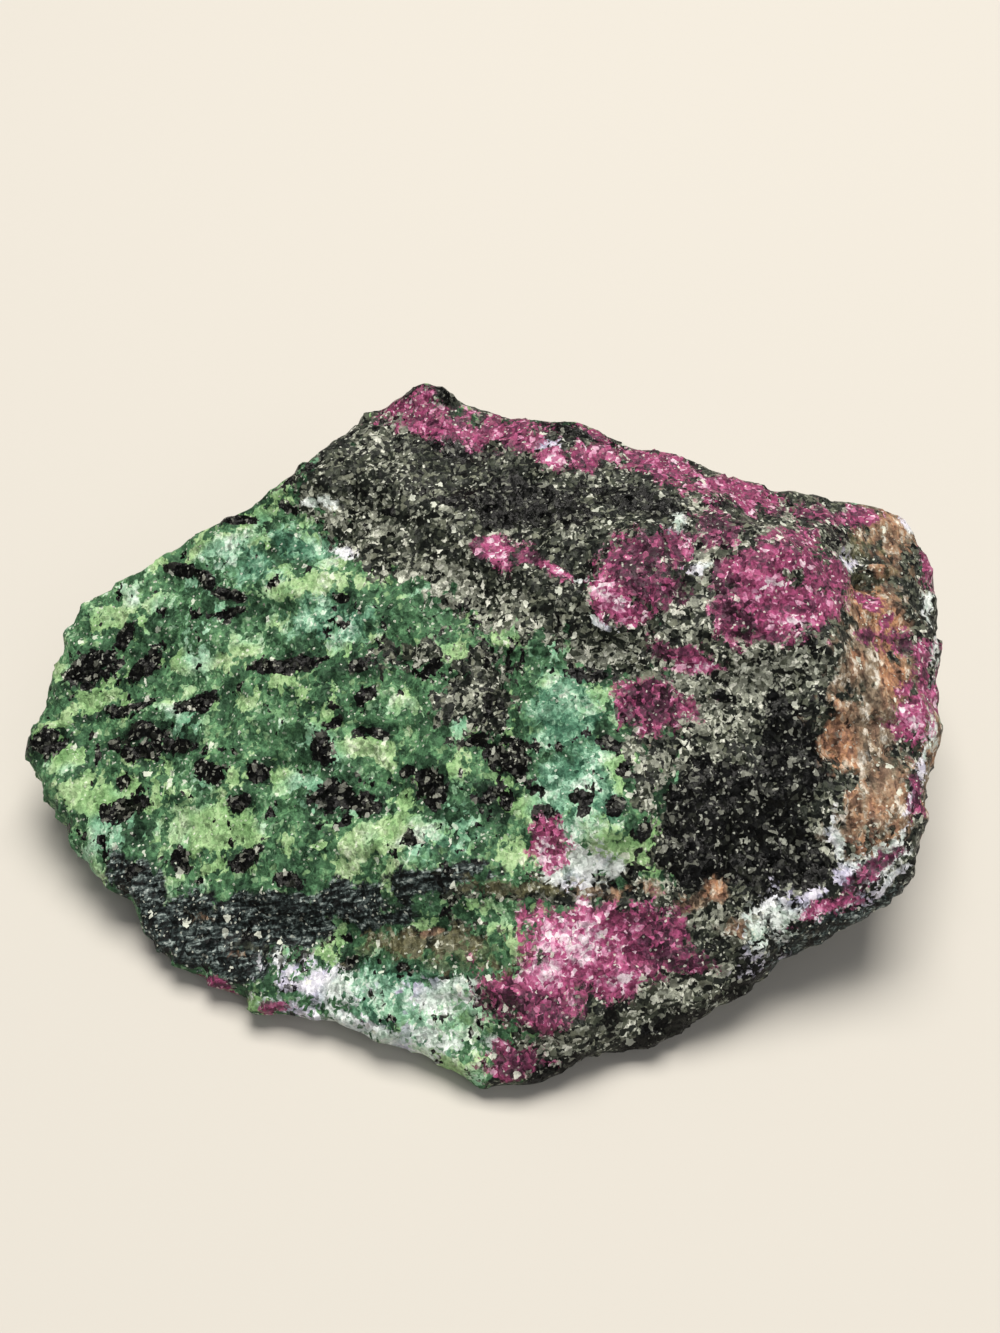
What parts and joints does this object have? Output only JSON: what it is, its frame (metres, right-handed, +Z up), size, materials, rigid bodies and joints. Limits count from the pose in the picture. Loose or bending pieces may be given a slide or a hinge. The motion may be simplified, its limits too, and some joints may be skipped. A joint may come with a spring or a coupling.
{
  "type": "ruby in zoisite specimen",
  "caption": "Rough broken lump of green zoisite with black amphibole and magenta ruby, a wedge-shaped slab that lies on a flat patch.",
  "frame": {"origin": "on the surface that the stone rests on, under the middle of its box", "axes": "+X to the right along the longest side, +Y away from the low front edge to the thick back edge, +Z up"},
  "size_m": [0.1214, 0.0864, 0.0417],
  "materials": {
    "ruby_zoisite_rock": "rough broken crystalline rock: green zoisite grains with near-black amphibole, magenta ruby, pale and rust-stained patches, fine cleavage glints"
  },
  "bodies": {
    "root": {"ruby_in_zoisite": "ruby_zoisite_rock"}
  },
  "joints": []
}
